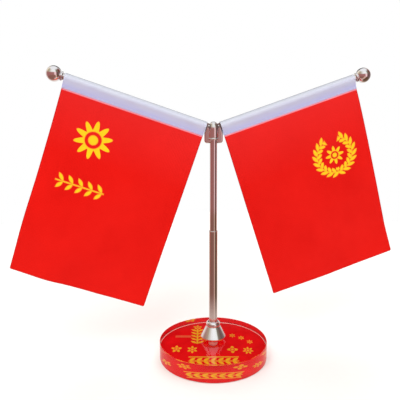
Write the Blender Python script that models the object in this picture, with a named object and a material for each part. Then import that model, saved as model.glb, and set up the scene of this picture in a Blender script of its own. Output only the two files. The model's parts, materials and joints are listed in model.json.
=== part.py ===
# Desk flag stand: a clear round base, a two-part telescopic pole, and a hub whose two arms
# fold up and carry a flag each. Metres, +Z up; the origin is the middle of the base's underside.
# The arms lie in the XZ plane, and the flags hang in it.
from math import asin, cos, hypot, pi, radians, sin, tan

import bmesh
import bpy
from mathutils import Vector

MM = 0.001

# Base
BASE_DIAMETER = 60 * MM
BASE_HEIGHT = 10 * MM        # disc and film together
BASE_EDGE = 0.4 * MM         # polished chamfer on both rims
FILM_THICKNESS = 0.2 * MM
FILM_INSET = 0.5 * MM        # how far the film's rim stays inside the disc's
POCKET_FLOOR = 1.5 * MM      # acrylic left under the stud
POCKET_TAPER = 0.9 * MM      # how much wider the pocket's mouth is than its floor, in radius
STUD_ROOT_DIAMETER = 4.6 * MM
ROOT_SINK = 0.3 * MM         # how far the root's shoulder lies below the disc's top
STUD_CHAMFER = 0.4 * MM
THREAD_PITCH = 0.7 * MM
THREAD_DEPTH = 0.25 * MM

# Pole
UPPER_TUBE_DIAMETER = 3.9 * MM
UPPER_TUBE_WALL = 0.3 * MM
LOWER_TUBE_WALL = 0.25 * MM
TUBE_GAP = 0.1 * MM          # radial space between the two tubes
LOWER_TUBE_TOP = 72.5 * MM
MOUTH_HEIGHT = 1.4 * MM      # rolled mouth of the lower tube
CONE_DIAMETER = 13.8 * MM
CONE_FOOT_DIAMETER = 7.5 * MM
CONE_TOP_DIAMETER = 7.9 * MM
CONE_HEIGHT = 8 * MM
CONE_BELLY = 2 * MM          # height of the cone's widest ring
COLLAR_HEIGHT = 2.7 * MM
TUBE_SEAT = 3.2 * MM         # height of the lower tube's seat in the cone
SPRING_HEIGHT = 4.9 * MM
SPRING_SLIT = 0.7 * MM
PLUG_FLANGE = 1 * MM
PLUG_NECK_DIAMETER = 2.6 * MM
PLUG_SPIGOT = 6 * MM

# Hub
ARM_AXIS_HEIGHT = 127.2 * MM  # where the two arms' axes meet on the pole's axis
ARM_ANGLE = radians(19)       # above horizontal, at rest
HUB_CORE_DIAMETER = 5.5 * MM
HUB_CORE_BELOW = 5.9 * MM     # core's lower rim below the arms' crossing
HUB_DOME_ABOVE = 3.6 * MM     # dome's top above it
HUB_BLOCK_WIDTH = 9.8 * MM
HUB_BLOCK_DEPTH = 3.2 * MM
HUB_BLOCK_BELOW = 7.6 * MM
HUB_BLOCK_CORNER = 1.5 * MM
HUB_SOCKET = 4.5 * MM         # how deep the upper tube goes into the block
HINGE_REACH = 2.75 * MM       # hinge pin from the pole's axis, along the arm
HINGE_PIN_DIAMETER = 1 * MM
CHEEK_RADIUS = 1.1 * MM
TONGUE_THICKNESS = 1 * MM
TONGUE_HEIGHT = 3.5 * MM

# Arms and flags; distances along an arm are from the pole's axis
ARM_TUBE_DIAMETER = 3.4 * MM
ARM_TUBE_WALL = 0.3 * MM
ARM_SPIGOT = 5 * MM           # how far the eye's and the finial's spigots go into the tube
SHOULDER_REACH = 4.2 * MM     # where the flat tongue ends and the tube begins
BALL_DIAMETER = 7.9 * MM
FINIAL_COLLAR_DIAMETER = 4.8 * MM
FINIAL_COLLAR_LENGTH = 1.1 * MM
FINIAL_COLLAR_EDGE = 0.3 * MM
SLEEVE_REACH = 4.1 * MM       # inner end of the sleeve
SLEEVE_PLAY = 0.9 * MM        # end play between sleeve and finial
SLEEVE_BORE_GAP = 0.2 * MM    # radial space round the arm
SLEEVE_WALL = 0.43 * MM
SLEEVE_DROP = 5.1 * MM        # seam below the arm's axis
SEAM_THICKNESS = 0.9 * MM
FLAG_HOIST = 75 * MM
FLAG_FLY = 100 * MM
CLOTH_THICKNESS = 0.4 * MM
TABLE_GAP = 1.4 * MM          # flags' lowest corners above the table with the pole pushed in

# Clearances
FACE_GAP = 0.03 * MM          # flat faces that rest on each other
FIT_GAP = 0.03 * MM           # round parts that are pressed or screwed together
RUN_GAP = 0.04 * MM           # round parts that turn or slide in each other
CLOTH_GAP = 0.3 * MM          # sewn cloth to the seam above it
STOP_GAP = 0.3 * MM           # stud's top to the plug with the pole pushed in

TURNED_EDGE = 0.25 * MM       # broken edges of turned parts
FINE_EDGE = 0.1 * MM

DISC_STEPS = 96
ROUND_STEPS = 48
SMALL_STEPS = 32
PIN_STEPS = 24

# Worked out
base_radius = BASE_DIAMETER / 2
upper_radius = UPPER_TUBE_DIAMETER / 2
lower_bore = upper_radius + TUBE_GAP
lower_radius = lower_bore + LOWER_TUBE_WALL
stud_radius = lower_bore - TUBE_GAP / 2
cone_base = BASE_HEIGHT + FACE_GAP
cone_top = cone_base + CONE_HEIGHT
tube_foot = cone_base + TUBE_SEAT
mouth_foot = LOWER_TUBE_TOP - MOUTH_HEIGHT
upper_foot = mouth_foot - FACE_GAP
spring_top = upper_foot - FACE_GAP
spring_foot = spring_top - SPRING_HEIGHT
plug_foot = spring_foot - FACE_GAP - PLUG_FLANGE
socket_foot = ARM_AXIS_HEIGHT - HUB_BLOCK_BELOW
upper_top = socket_foot + HUB_SOCKET
arm_radius = ARM_TUBE_DIAMETER / 2
spigot_radius = arm_radius - ARM_TUBE_WALL - FIT_GAP
tongue_reach = hypot(TONGUE_HEIGHT, TONGUE_THICKNESS) / 2  # tongue's corners from the arm's axis
sleeve_bore = max(arm_radius + SLEEVE_BORE_GAP, tongue_reach + RUN_GAP)
sleeve_radius = sleeve_bore + SLEEVE_WALL
sleeve_end = SLEEVE_REACH + FLAG_HOIST
collar_start = sleeve_end + SLEEVE_PLAY
arm_tube_end = collar_start - FACE_GAP
cloth_top = -SLEEVE_DROP - CLOTH_GAP
cloth_bottom = -SLEEVE_DROP - FLAG_FLY
hinge_x = HINGE_REACH * cos(ARM_ANGLE)
hinge_z = ARM_AXIS_HEIGHT + HINGE_REACH * sin(ARM_ANGLE)
flag_low = ARM_AXIS_HEIGHT + SLEEVE_REACH * sin(ARM_ANGLE) + cloth_bottom * cos(ARM_ANGLE)
pole_stroke = flag_low - TABLE_GAP
stud_top = plug_foot - pole_stroke - STOP_GAP


def clear_scene():
    for old in list(bpy.data.objects):
        bpy.data.objects.remove(old, do_unlink=True)


def material(name, colour, roughness, metallic=0.0, alpha=1.0):
    made = bpy.data.materials.new(name)
    made.use_nodes = True
    shader = made.node_tree.nodes["Principled BSDF"]
    shader.inputs["Base Color"].default_value = (*colour, 1.0)
    shader.inputs["Roughness"].default_value = roughness
    shader.inputs["Metallic"].default_value = metallic
    shader.inputs["Alpha"].default_value = alpha
    return made


def place(name, bm, finish, parent=None):
    mesh = bpy.data.meshes.new(name)
    bmesh.ops.recalc_face_normals(bm, faces=bm.faces)
    bm.to_mesh(mesh)
    bm.free()
    mesh.shade_smooth()
    mesh.set_sharp_from_angle(angle=radians(30))
    mesh.materials.append(finish)
    made = bpy.data.objects.new(name, mesh)
    bpy.context.collection.objects.link(made)
    made.parent = parent
    return made


def axis_empty(name, location, tilt=0.0, turn=0.0):
    made = bpy.data.objects.new(name, None)
    made.location = location
    made.rotation_euler = (0, tilt, turn)
    bpy.context.collection.objects.link(made)
    return made


def spun(profile, axis="Z", steps=ROUND_STEPS):
    # A closed (radius, height) outline, turned once round the axis. Points on the axis are merged.
    bm = bmesh.new()
    along_x = axis == "X"
    points = [Vector((h, 0, r)) if along_x else Vector((r, 0, h)) for r, h in profile]
    ring = [bm.verts.new(point) for point in points]
    edges = [bm.edges.new((ring[i - 1], ring[i])) for i in range(len(ring))]
    direction = (1, 0, 0) if along_x else (0, 0, 1)
    bmesh.ops.spin(bm, geom=ring + edges, cent=(0, 0, 0), axis=direction, angle=2 * pi, steps=steps)
    bmesh.ops.remove_doubles(bm, verts=bm.verts, dist=1e-6)
    bmesh.ops.dissolve_degenerate(bm, dist=1e-7, edges=bm.edges)
    on_axis = [edge for edge in bm.edges if not edge.link_faces]
    bmesh.ops.delete(bm, geom=on_axis, context="EDGES")
    return bm


def prism(outline, depth):
    # An (x, z) outline given a depth along Y, centred on y = 0.
    bm = bmesh.new()
    face = bm.faces.new([bm.verts.new((x, -depth / 2, z)) for x, z in outline])
    swept = bmesh.ops.extrude_face_region(bm, geom=[face])
    moved = [item for item in swept["geom"] if isinstance(item, bmesh.types.BMVert)]
    bmesh.ops.translate(bm, verts=moved, vec=(0, depth, 0))
    return bm


def arc(centre, radius, start, end, steps):
    return [(centre[0] + radius * cos(start + (end - start) * i / steps),
             centre[1] + radius * sin(start + (end - start) * i / steps)) for i in range(steps + 1)]


def cross_cylinder(radius, length, x, z):
    # A cylinder along Y, for pins and pin holes.
    return prism(arc((x, z), radius, 0, 2 * pi, PIN_STEPS)[:-1], length)


def cutter(name, bm):
    made = place(name, bm, steel)
    made.hide_render = True
    made.display_type = "WIRE"
    return made


def boolean(target, operation, other):
    change = target.modifiers.new(other.name, "BOOLEAN")
    change.operation = operation
    change.object = other
    change.solver = "EXACT"


def base_disc():
    floor = FILM_THICKNESS + FACE_GAP
    pocket = FILM_THICKNESS + POCKET_FLOOR
    root = STUD_ROOT_DIAMETER / 2 + FIT_GAP
    place("base_disc", spun([
        (0, floor), (base_radius - BASE_EDGE, floor), (base_radius, floor + BASE_EDGE),
        (base_radius, BASE_HEIGHT - BASE_EDGE), (base_radius - BASE_EDGE, BASE_HEIGHT),
        (root + POCKET_TAPER, BASE_HEIGHT), (root, pocket), (0, pocket),
    ], steps=DISC_STEPS), acrylic)


def print_film():
    rim = base_radius - BASE_EDGE - FILM_INSET
    outline = [(0, 0), (rim, 0), (rim, FILM_THICKNESS), (0, FILM_THICKNESS)]
    place("print_film", spun(outline, steps=DISC_STEPS), film)


def base_stud():
    # Tapered root in the acrylic, thread rings in the cone nut, then a plain shank up the lower tube.
    root_foot = FILM_THICKNESS + POCKET_FLOOR + FACE_GAP
    root = STUD_ROOT_DIAMETER / 2
    shoulder = BASE_HEIGHT - ROOT_SINK
    profile = [(0, root_foot), (root, root_foot), (root + POCKET_TAPER - FIT_GAP, shoulder)]
    core = stud_radius - THREAD_DEPTH
    turns = int((tube_foot - shoulder) / THREAD_PITCH)
    for turn in range(turns):
        z = shoulder + turn * THREAD_PITCH
        profile += [(core, z), (stud_radius, z + THREAD_PITCH / 2)]
    profile += [(stud_radius, stud_top - STUD_CHAMFER), (stud_radius - STUD_CHAMFER, stud_top), (0, stud_top)]
    place("base_stud", spun(profile, steps=SMALL_STEPS), steel)


def cone_nut():
    foot = CONE_FOOT_DIAMETER / 2
    belly = CONE_DIAMETER / 2
    top = CONE_TOP_DIAMETER / 2
    bore = stud_radius + FIT_GAP
    seat = lower_radius + FIT_GAP
    rise = CONE_BELLY - FINE_EDGE
    under = [(foot + (belly - foot) * sin(a), cone_base + FINE_EDGE + rise * (1 - cos(a)))
             for a in (radians(step) for step in range(0, 91, 18))]
    place("cone_nut", spun([
        (bore, cone_base), (foot, cone_base), *under,
        (belly - FINE_EDGE, cone_base + CONE_BELLY + TURNED_EDGE),
        (top, cone_top - FINE_EDGE), (top - FINE_EDGE, cone_top),
        (seat, cone_top), (seat, tube_foot - FACE_GAP), (bore, tube_foot - FACE_GAP),
    ]), chrome)


def cone_collar():
    foot = cone_top + FACE_GAP
    wide = CONE_TOP_DIAMETER / 2
    bore = lower_radius + FIT_GAP
    lip = bore + TURNED_EDGE
    rise = COLLAR_HEIGHT - TURNED_EDGE - FINE_EDGE
    dome = [(lip + (wide - lip) * cos(a), foot + TURNED_EDGE + rise * sin(a))
            for a in (radians(step) for step in range(0, 91, 15))]
    place("cone_collar", spun([
        (bore, foot), (wide - TURNED_EDGE, foot), *dome, (bore, foot + COLLAR_HEIGHT),
    ]), chrome)


def lower_tube():
    lip = upper_radius + RUN_GAP
    roll = lower_radius - lip
    rolled = [(lip + roll * cos(a), LOWER_TUBE_TOP - roll + roll * sin(a))
              for a in (radians(step) for step in range(0, 91, 15))]
    place("lower_tube", spun([
        (lower_bore, tube_foot), (lower_radius, tube_foot), *rolled,
        (lip, mouth_foot + TUBE_GAP), (lower_bore, mouth_foot),
    ]), chrome)


def friction_spring():
    # A slit bush round the plug's neck. It grips the lower tube's bore.
    outer = lower_bore - RUN_GAP / 2
    inner = PLUG_NECK_DIAMETER / 2 + RUN_GAP
    slit = SPRING_SLIT / outer
    bm = bmesh.new()
    corners = [(inner, spring_foot), (outer, spring_foot), (outer, spring_top), (inner, spring_top)]
    face = bm.faces.new([bm.verts.new((r, 0, z)) for r, z in corners])
    bmesh.ops.spin(bm, geom=[face, *face.edges, *face.verts], cent=(0, 0, 0), axis=(0, 0, 1),
                   angle=2 * pi - slit, steps=SMALL_STEPS)
    place("friction_spring", bm, brass, slide_axis)


def end_plug():
    wide = upper_radius - RUN_GAP
    neck = PLUG_NECK_DIAMETER / 2
    spigot = upper_radius - UPPER_TUBE_WALL - FIT_GAP
    place("end_plug", spun([
        (0, plug_foot), (wide - TURNED_EDGE, plug_foot), (wide, plug_foot + TURNED_EDGE),
        (wide, plug_foot + PLUG_FLANGE), (neck, plug_foot + PLUG_FLANGE), (neck, spring_top),
        (spigot, upper_foot), (spigot, upper_foot + PLUG_SPIGOT), (0, upper_foot + PLUG_SPIGOT),
    ], steps=SMALL_STEPS), brass, slide_axis)


def upper_tube():
    bore = upper_radius - UPPER_TUBE_WALL
    place("upper_tube", spun([
        (bore, upper_foot), (upper_radius, upper_foot), (upper_radius, upper_top), (bore, upper_top),
    ]), chrome, slide_axis)


def along_arm(reach, height):
    # (x, z) of a point given along the right arm and square to it.
    return (reach * cos(ARM_ANGLE) - height * sin(ARM_ANGLE),
            ARM_AXIS_HEIGHT + reach * sin(ARM_ANGLE) + height * cos(ARM_ANGLE))


def hub_body():
    # Domed core, a flat block behind it with two cheeks a side, and a slot between the cheeks.
    core = HUB_CORE_DIAMETER / 2
    rim = ARM_AXIS_HEIGHT - HUB_CORE_BELOW
    dome_foot = ARM_AXIS_HEIGHT + HUB_DOME_ABOVE - core
    dome = [(core * cos(a), dome_foot + core * sin(a)) for a in (radians(step) for step in range(0, 91, 10))]
    hub = place("hub_body", spun([
        (0, rim), (core - TURNED_EDGE, rim), (core, rim + TURNED_EDGE), *dome,
    ]), chrome, slide_axis)

    side = HUB_BLOCK_WIDTH / 2
    foot = ARM_AXIS_HEIGHT - HUB_BLOCK_BELOW
    slant = HINGE_REACH + CHEEK_RADIUS
    slant_foot = ARM_AXIS_HEIGHT + (slant - side * cos(ARM_ANGLE)) / sin(ARM_ANGLE)
    right = [*arc((side - HUB_BLOCK_CORNER, foot + HUB_BLOCK_CORNER), HUB_BLOCK_CORNER, -pi / 2, 0, 6),
             (side, slant_foot), *arc((hinge_x, hinge_z), CHEEK_RADIUS, ARM_ANGLE, pi / 2, 6)]
    left = [(-x, z) for x, z in reversed(right)]
    block = cutter("hub_block", prism(right + left, HUB_BLOCK_DEPTH))
    boolean(hub, "UNION", block)

    # The slot's floor is the stop that the tongue rests on; the web between the slots joins the cheeks.
    web = hinge_x - TONGUE_HEIGHT / 2 - FACE_GAP
    floor_height = -TONGUE_HEIGHT / 2 - FACE_GAP
    web_floor = ARM_AXIS_HEIGHT + web * tan(ARM_ANGLE) + floor_height / cos(ARM_ANGLE)
    top = ARM_AXIS_HEIGHT + 2 * HUB_DOME_ABOVE
    slot = [(web, web_floor), along_arm(HUB_BLOCK_WIDTH, floor_height), (HUB_BLOCK_WIDTH, top), (web, top)]
    width = TONGUE_THICKNESS + 2 * RUN_GAP
    hole = HINGE_PIN_DIAMETER / 2 + RUN_GAP
    for name, way in (("right", 1), ("left", -1)):
        mirrored = [(way * x, z) for x, z in slot]
        boolean(hub, "DIFFERENCE", cutter(name + "_slot", prism(mirrored, width)))
        boolean(hub, "DIFFERENCE", cutter(name + "_pin_hole",
                                          cross_cylinder(hole, 3 * HUB_BLOCK_DEPTH, way * hinge_x, hinge_z)))
    bore = upper_radius + FIT_GAP
    below = foot - HUB_SOCKET
    socket = spun([(0, below), (bore, below), (bore, upper_top + FACE_GAP), (0, upper_top + FACE_GAP)])
    boolean(hub, "DIFFERENCE", cutter("tube_socket", socket))


def hinge_pin(side):
    length = HUB_BLOCK_DEPTH - 2 * FACE_GAP
    place(side + "_hinge_pin", cross_cylinder(HINGE_PIN_DIAMETER / 2, length, 0, 0), steel, arm_axes[side])


def arm_eye(side):
    # Flat tongue with the pin's hole, and a round spigot for the tube. X runs out along the arm.
    half = TONGUE_HEIGHT / 2
    shoulder = SHOULDER_REACH - HINGE_REACH
    outline = [(shoulder, -half), (shoulder, half), *arc((0, 0), half, pi / 2, 3 * pi / 2, 16)]
    eye = place(side + "_arm_eye", prism(outline, TONGUE_THICKNESS), steel, arm_axes[side])
    root = CHEEK_RADIUS + RUN_GAP
    spigot = spun([(0, root), (TONGUE_THICKNESS / 2, root), (spigot_radius, shoulder),
                   (spigot_radius, shoulder + ARM_SPIGOT), (0, shoulder + ARM_SPIGOT)], "X", SMALL_STEPS)
    boolean(eye, "UNION", cutter(side + "_spigot", spigot))
    boolean(eye, "DIFFERENCE", cutter(side + "_eye_hole", cross_cylinder(
        HINGE_PIN_DIAMETER / 2 + RUN_GAP, 2 * TONGUE_THICKNESS, 0, 0)))
    for name in ("_spigot", "_eye_hole"):
        bpy.data.objects[side + name].parent = arm_axes[side]


def arm_tube(side):
    start = SHOULDER_REACH - HINGE_REACH + FACE_GAP
    end = arm_tube_end - HINGE_REACH
    bore = arm_radius - ARM_TUBE_WALL
    place(side + "_arm_tube", spun([(bore, start), (bore, end), (arm_radius, end), (arm_radius, start)],
                                   "X", SMALL_STEPS), chrome, arm_axes[side])


def finial(side):
    # Spigot in the tube, a small collar, and the ball.
    collar = FINIAL_COLLAR_DIAMETER / 2
    ball = BALL_DIAMETER / 2
    start = collar_start - HINGE_REACH
    collar_end = start + FINIAL_COLLAR_LENGTH
    neck = collar - FINIAL_COLLAR_EDGE
    centre = collar_end + (ball ** 2 - neck ** 2) ** 0.5
    neck_angle = pi - asin(neck / ball)
    ball_arc = [(ball * sin(a), centre + ball * cos(a))
                for a in (neck_angle * (1 - step / 14) for step in range(15))]
    place(side + "_finial", spun([
        (0, start - ARM_SPIGOT), (spigot_radius, start - ARM_SPIGOT), (spigot_radius, start),
        (neck, start), (collar, start + FINIAL_COLLAR_EDGE), (collar, collar_end - FINIAL_COLLAR_EDGE),
        *ball_arc[:-1], (0, centre + ball),
    ], "X", SMALL_STEPS), chrome, arm_axes[side])


def flag_sleeve(side):
    # White tape sewn to a tunnel: round over the arm, then narrowing down to the seam.
    half = SEAM_THICKNESS / 2
    over = arc((0, 0), sleeve_radius, radians(-20), radians(200), 18)
    outline = [*over, (-half, -SLEEVE_DROP), (half, -SLEEVE_DROP)]
    sleeve = place(side + "_flag_sleeve", prism(outline, FLAG_HOIST), satin, arm_axes[side])
    bore = prism(arc((0, 0), sleeve_bore, 0, 2 * pi, SMALL_STEPS)[:-1], 2 * FLAG_HOIST)
    hole = cutter(side + "_sleeve_bore", bore)
    hole.parent = arm_axes[side]
    middle = SLEEVE_REACH + FLAG_HOIST / 2 - HINGE_REACH
    for item in (sleeve, hole):
        for vertex in item.data.vertices:
            x, y, z = vertex.co
            vertex.co = (middle + y, -x, z)
    boolean(sleeve, "DIFFERENCE", hole)


def flag_cloth(side):
    inner = SLEEVE_REACH - HINGE_REACH
    outer = inner + FLAG_HOIST
    place(side + "_flag_cloth", prism([(inner, cloth_bottom), (outer, cloth_bottom), (outer, cloth_top),
                                       (inner, cloth_top)], CLOTH_THICKNESS), bunting, arm_axes[side])


clear_scene()
acrylic = material("clear_acrylic", (0.9, 0.75, 0.76), 0.05, alpha=0.35)
film = material("printed_film", (0.72, 0.01, 0.02), 0.3)
chrome = material("chrome", (0.78, 0.77, 0.77), 0.08, 1.0)
steel = material("plated_steel", (0.62, 0.61, 0.6), 0.25, 1.0)
brass = material("brass", (0.72, 0.52, 0.22), 0.3, 1.0)
satin = material("satin_tape", (0.76, 0.78, 0.9), 0.55)
bunting = material("red_cloth", (0.85, 0.02, 0.01), 0.7)

slide_axis = axis_empty("slide_axis", (0, 0, 0))
arm_axes = {"right": axis_empty("right_arm_axis", (hinge_x, 0, hinge_z), -ARM_ANGLE),
            "left": axis_empty("left_arm_axis", (-hinge_x, 0, hinge_z), -ARM_ANGLE, pi)}

base_disc()
print_film()
base_stud()
cone_nut()
cone_collar()
lower_tube()
friction_spring()
end_plug()
upper_tube()
hub_body()
for arm in ("left", "right"):
    hinge_pin(arm)
    arm_eye(arm)
    arm_tube(arm)
    finial(arm)
    flag_sleeve(arm)
    flag_cloth(arm)
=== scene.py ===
import json
from math import acos, atan2, cos, exp, hypot, pi, radians, sin, sqrt, tan

import bpy
from mathutils import Euler, Matrix, Vector, noise


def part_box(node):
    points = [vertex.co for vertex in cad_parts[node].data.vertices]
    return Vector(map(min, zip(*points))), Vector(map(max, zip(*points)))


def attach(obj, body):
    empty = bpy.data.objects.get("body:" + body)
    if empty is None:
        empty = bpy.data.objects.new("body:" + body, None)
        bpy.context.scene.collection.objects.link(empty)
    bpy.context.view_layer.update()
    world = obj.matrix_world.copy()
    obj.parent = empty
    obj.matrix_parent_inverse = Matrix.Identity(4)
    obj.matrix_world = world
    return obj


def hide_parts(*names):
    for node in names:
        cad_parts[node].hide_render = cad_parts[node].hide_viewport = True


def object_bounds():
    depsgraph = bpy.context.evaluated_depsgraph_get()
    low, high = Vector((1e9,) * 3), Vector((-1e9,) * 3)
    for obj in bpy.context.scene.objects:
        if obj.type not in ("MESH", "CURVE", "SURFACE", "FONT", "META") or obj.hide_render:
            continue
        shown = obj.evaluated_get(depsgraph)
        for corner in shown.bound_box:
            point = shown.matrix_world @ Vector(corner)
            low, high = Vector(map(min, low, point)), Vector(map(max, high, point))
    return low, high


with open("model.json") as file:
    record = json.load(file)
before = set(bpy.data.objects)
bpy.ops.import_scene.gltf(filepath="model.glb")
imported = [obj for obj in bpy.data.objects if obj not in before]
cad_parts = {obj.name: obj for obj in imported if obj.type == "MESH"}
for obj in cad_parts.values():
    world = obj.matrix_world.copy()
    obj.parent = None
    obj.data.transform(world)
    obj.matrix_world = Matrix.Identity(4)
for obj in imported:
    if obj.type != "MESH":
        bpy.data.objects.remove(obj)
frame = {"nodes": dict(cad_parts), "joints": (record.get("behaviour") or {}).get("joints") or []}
cadLow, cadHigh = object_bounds()
mm = 0.001
mergeDistance = 0.002 * mm
bpy.context.scene.view_settings.view_transform = "Standard"  # keeps the printed red as saturated as it is
print("frame loaded:", len(frame["nodes"]), "nodes")

# small helpers for shaping and for nodes


def only(piece):
    if bpy.context.object and bpy.context.object.mode != "OBJECT":
        bpy.ops.object.mode_set(mode="OBJECT")
    bpy.ops.object.select_all(action="DESELECT")
    if piece:
        piece.select_set(True)
        bpy.context.view_layer.objects.active = piece
    return piece


def drawOutline(name, points):
    # A plane merged to one point is drawn out, point by point, into an open outline
    only(None)
    bpy.ops.mesh.primitive_plane_add(size=mm, location=(0, 0, 0))
    piece = bpy.context.active_object
    piece.name = piece.data.name = name
    bpy.ops.object.mode_set(mode="EDIT")
    bpy.ops.mesh.select_mode(type="VERT")
    bpy.ops.mesh.select_all(action="SELECT")
    bpy.ops.mesh.merge(type="CENTER")
    bpy.ops.transform.translate(value=points[0])
    for before, after in zip(points, points[1:]):
        bpy.ops.mesh.extrude_region_move(TRANSFORM_OT_translate={"value": after - before})
    return piece


def turned(name, outline, axis="Z", sides=96):
    # A (radius, height) outline in mm, spun once round the axis; it ends on the axis or closes on itself
    along = axis == "X"
    points = [Vector((h, 0, r) if along else (r, 0, h)) * mm for r, h in outline]
    piece = drawOutline(name, points)
    bpy.ops.mesh.select_all(action="SELECT")
    bpy.ops.mesh.spin(steps=sides, angle=2 * pi, center=(0, 0, 0), axis=(1, 0, 0) if along else (0, 0, 1))
    bpy.ops.mesh.select_all(action="SELECT")
    bpy.ops.mesh.remove_doubles(threshold=mergeDistance)
    bpy.ops.mesh.normals_make_consistent(inside=False)
    bpy.ops.object.mode_set(mode="OBJECT")
    return piece


def plate(name, outline, depth):
    # A closed (x, z) outline in mm, filled and extruded along Y, with its middle at y = 0
    points = [Vector((x, -depth / 2, z)) * mm for x, z in outline]
    piece = drawOutline(name, points + points[:1])
    bpy.ops.mesh.select_all(action="SELECT")
    bpy.ops.mesh.remove_doubles(threshold=mergeDistance)
    bpy.ops.mesh.edge_face_add()
    bpy.ops.mesh.extrude_region_move(TRANSFORM_OT_translate={"value": (0, depth * mm, 0)})
    bpy.ops.mesh.select_all(action="SELECT")
    bpy.ops.mesh.normals_make_consistent(inside=False)
    bpy.ops.object.mode_set(mode="OBJECT")
    return piece


def arc(centre, radius, start, end, steps):
    angles = [radians(start + (end - start) * i / steps) for i in range(steps + 1)]
    return [(centre[0] + radius * cos(a), centre[1] + radius * sin(a)) for a in angles]


def modify(piece, kind, **settings):
    only(piece)
    change = piece.modifiers.new(kind.lower(), kind)
    for name, value in settings.items():
        setattr(change, name, value)
    bpy.ops.object.modifier_apply(modifier=change.name)
    return piece


def combine(piece, tool, operation):
    modify(piece, "BOOLEAN", operation=operation, object=tool, solver="EXACT")
    bpy.data.objects.remove(tool)
    return piece


def breakEdges(piece, width, segments=3, angle=30):
    # Small round edges, so that metal and plastic catch the light as made ones do
    modify(piece, "BEVEL", width=width * mm, segments=segments, limit_method="ANGLE",
           angle_limit=radians(angle))
    return smoothed(piece, angle)


def smoothed(piece, angle):
    # The large faces keep their own direction, so that a long tube mirrors straight lines
    only(piece)
    bpy.ops.object.shade_smooth_by_angle(angle=radians(angle))
    modify(piece, "WEIGHTED_NORMAL", keep_sharp=True, weight=100)
    return piece


def settle(piece, place):
    # The place goes into the mesh, and the object stays at the origin
    only(piece)
    piece.matrix_world = place
    bpy.ops.object.transform_apply(location=True, rotation=True, scale=True)
    return piece


def copyOf(piece, name):
    only(piece)
    bpy.ops.object.duplicate(linked=False)
    made = bpy.context.active_object
    made.name = made.data.name = name
    return made


def dress(piece, finish, body, slot, *nodes):
    # Material, the body it rides on, and the CAD nodes it stands for; the slot argument is not used
    piece.data.materials.clear()
    piece.data.materials.append(finish)
    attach(piece, body)
    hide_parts(*nodes)
    return piece


def linear(code):
    # An sRGB hex colour as the linear values that shaders take
    parts = [int(code[i:i + 2], 16) / 255 for i in (1, 3, 5)]
    return [p / 12.92 if p <= 0.04045 else ((p + 0.055) / 1.055) ** 2.4 for p in parts] + [1.0]


def setInputs(tree, node, inputs):
    # inputs is a list, or a dictionary by name; a hex code is a colour, and a node is linked by its output
    named = isinstance(inputs, dict)
    sockets = node.inputs if named else [socket for socket in node.inputs if socket.enabled]
    for key, value in inputs.items() if named else enumerate(inputs):
        if isinstance(value, bpy.types.Node):
            value = next(socket for socket in value.outputs if socket.enabled)
        if isinstance(value, bpy.types.NodeSocket):
            tree.links.new(value, sockets[key])
        else:
            sockets[key].default_value = linear(value) if isinstance(value, str) else value


def addNode(tree, kind, inputs=(), **settings):
    made = tree.nodes.new("ShaderNode" + kind)
    for name, value in settings.items():
        setattr(made, name, value)
    setInputs(tree, made, inputs)
    return made


def newMaterial(name, fixed):
    # Values that are the same all over the surface sit on the shader's own sockets
    made = bpy.data.materials.new(name)
    made.use_nodes = True
    shader = made.node_tree.nodes["Principled BSDF"]
    setInputs(made.node_tree, shader, fixed)
    return made, made.node_tree, shader


# camera, at the height of someone who looks slightly down on the stand

camera = {
    "place": Vector((-34.25, -256.67, 134.18)) * mm,
    "turn": 6.02,   # degrees towards +X
    "down": 9.83,
    "roll": -0.17,
    "lens": 44.13,
    "sensor": 36.0,
}


def makeCamera():
    only(None)
    bpy.ops.object.camera_add(location=camera["place"])
    made = bpy.context.active_object
    made.name = "camera"
    level = Euler((radians(90 - camera["down"]), 0, radians(-camera["turn"]))).to_matrix().to_4x4()
    rolled = level @ Matrix.Rotation(radians(camera["roll"]), 4, "Z")
    made.matrix_world = Matrix.Translation(camera["place"]) @ rolled
    made.data.lens = camera["lens"]
    made.data.sensor_width = camera["sensor"]
    made.data.clip_start = 10 * mm
    bpy.context.scene.camera = made


makeCamera()

# the frame's own places, in mm


def boxOf(node):
    low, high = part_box(node)
    return low / mm, high / mm


def boxAlongArm(node):
    # Lowest and highest corner in the right arm's own frame
    points = [toArm @ vertex.co / mm for vertex in frame["nodes"][node].data.vertices]
    return [Vector([pick(p[i] for p in points) for i in range(3)]) for pick in (min, max)]


swing = next(joint for joint in frame["joints"] if joint["name"] == "right_flag_swing")
armWay = Vector(swing["axis"]).normalized()
armAngle = atan2(armWay.z, armWay.x)
pinLow, pinHigh = boxOf("right_hinge_pin")
pin = (pinLow + pinHigh) / 2
crossing = pin.z - pin.x * tan(armAngle)      # height at which the two arms' axes meet on the pole's axis
pinReach = pin.x / cos(armAngle)
rightArm = Matrix.Translation((0, 0, crossing * mm)) @ Matrix.Rotation(-armAngle, 4, "Y")
toArm = rightArm.inverted()
arms = {"right": rightArm, "left": Matrix.Rotation(pi, 4, "Z") @ rightArm}

# metals

chromeLook = {
    "colour": {"drawn": "#e4e2e1", "turned": "#f3f2f4", "cast": "#ecebea"},
    # roughness of a wiped spot, and of a hazy one
    "haze": {"drawn": (0.08, 0.15), "turned": (0.1, 0.17), "cast": (0.12, 0.2)},
    "hazeSize": 6.0,          # mm, fingerprints and polishing haze
    "drawLine": 0.3,          # mm between the faint drawing lines of a tube; the real 0.05 would not show
    "drawDepth": 0.002,       # mm
}


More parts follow.
